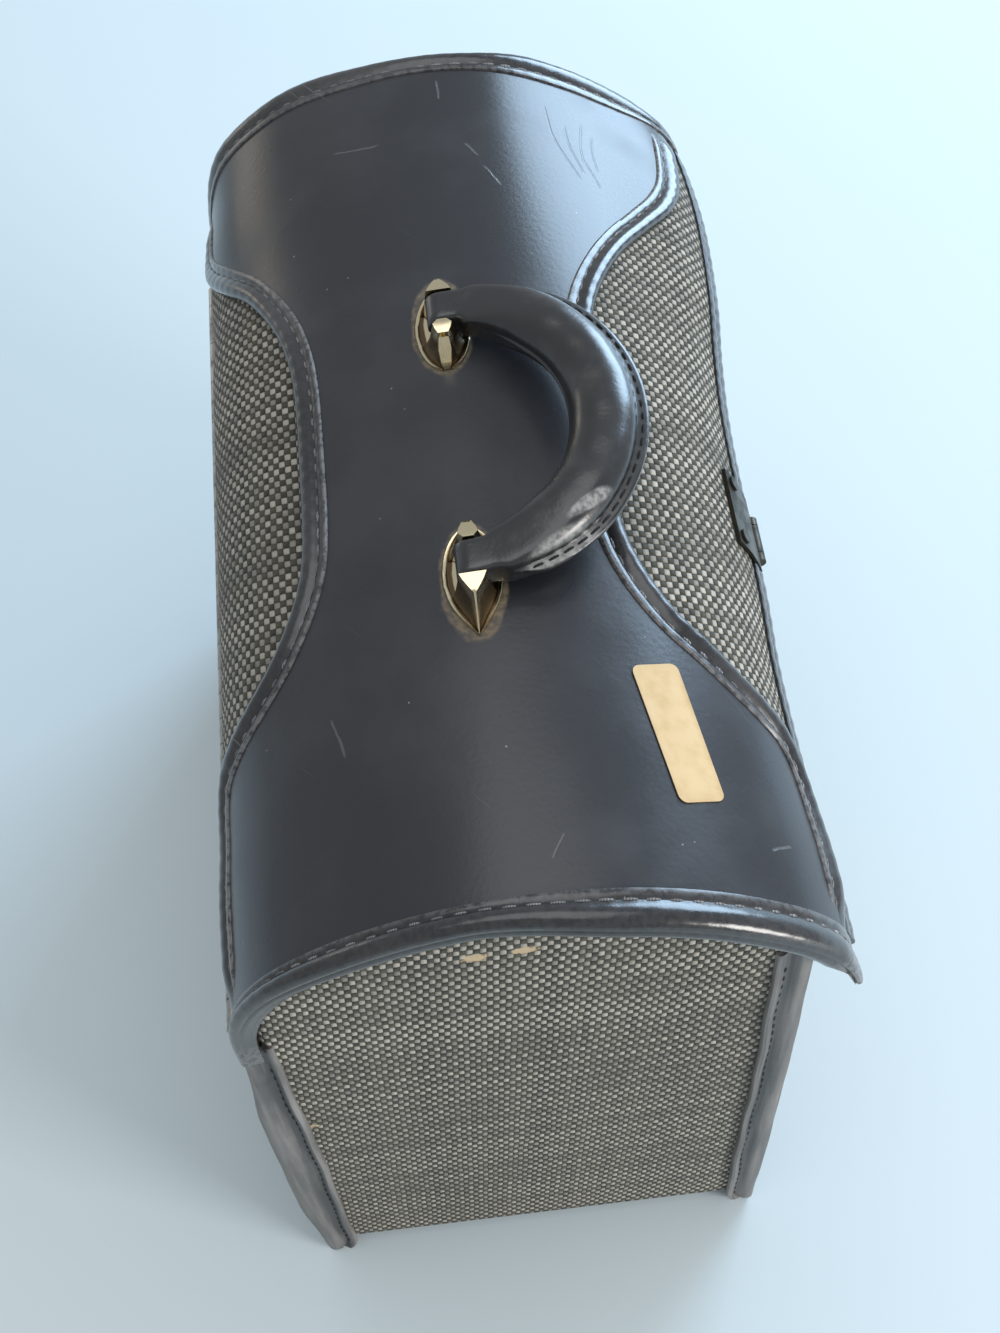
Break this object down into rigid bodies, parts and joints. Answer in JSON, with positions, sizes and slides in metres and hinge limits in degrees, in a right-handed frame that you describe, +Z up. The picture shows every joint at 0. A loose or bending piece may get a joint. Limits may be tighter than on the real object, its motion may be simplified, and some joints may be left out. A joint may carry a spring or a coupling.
{
  "type": "tweed locking case",
  "caption": "Upright tweed and black vinyl carrying case with a barrel lid hinged along the back, a padded folding handle on brass fittings and a key-locked hasp at the front",
  "frame": {"origin": "middle of the flat underside of the case body", "axes": "+X is the front with the lock, -X the back with the hinge, +Y runs along the case away from the viewer of the picture, +Z is up"},
  "size_m": [0.2243, 0.418, 0.3907],
  "materials": {
    "board": "bare plywood",
    "rail": "bare softwood",
    "tweed": "coarse light and dark basket weave",
    "lining": "plain woven cloth",
    "vinyl": "smooth black coated cloth",
    "grip_leather": "grained black leather",
    "label_paper": "plain tan paper",
    "brass": "worn pale brass",
    "steel": "plain steel"
  },
  "bodies": {
    "case": {"base_board": "board", "front_board": "board", "back_board": "board", "near_end_board": "board", "far_end_board": "board", "base_cover": "vinyl", "front_cover": "tweed", "back_cover": "tweed", "near_end_cover": "tweed", "far_end_cover": "tweed", "body_lining": "lining", "near_front_binding": "vinyl", "far_front_binding": "vinyl", "near_back_binding": "vinyl", "far_back_binding": "vinyl", "front_rim_binding": "vinyl", "body_hinge_rail": "rail", "hinge_body_leaf": "steel", "body_hinge_nails": "steel", "hinge_pin": "steel", "lock_case": "brass", "lock_backplate": "steel", "lock_rivets": "brass"},
    "lid": {"lid_board": "board", "lid_tweed": "tweed", "lid_lining": "lining", "saddle_panel": "vinyl", "saddle_front_binding": "vinyl", "saddle_back_binding": "vinyl", "lid_near_binding": "vinyl", "lid_far_binding": "vinyl", "lid_lip_binding": "vinyl", "lid_hinge_rail": "rail", "hinge_lid_leaf": "steel", "lid_hinge_nails": "steel", "near_handle_fitting": "brass", "far_handle_fitting": "brass", "handle_pins": "steel", "handle_backplates": "steel", "handle_rivets": "steel", "hasp_plate": "brass", "hasp_backplate": "steel", "hasp_rivets": "brass", "hasp_pin": "steel", "paper_label": "label_paper"},
    "handle": {"handle_grip": "grip_leather", "handle_core": "steel"},
    "hasp": {"hasp": "brass"},
    "key": {"key_barrel": "brass", "lock_cam": "steel"}
  },
  "joints": [
    {"name": "lid_hinge", "type": "hinge", "parent": "case", "child": "lid", "pos_m": [-0.1045, 0, 0.2622], "axis": [0, -1, 0], "range_deg": [0, 150]},
    {"name": "handle_swing", "type": "hinge", "parent": "lid", "child": "handle", "pos_m": [0, -0.014, 0.37551], "axis": [0, -1, 0], "range_deg": [0, 170]},
    {"name": "hasp_swing", "type": "hinge", "parent": "lid", "child": "hasp", "pos_m": [0.11478, -0.0185, 0.29315], "axis": [0, -1, 0], "range_deg": [0, 130]},
    {"name": "key_turn", "type": "hinge", "parent": "case", "child": "key", "pos_m": [0.1135, -0.0055, 0.24607], "axis": [1, 0, 0], "range_deg": [0, 90]}
  ]
}
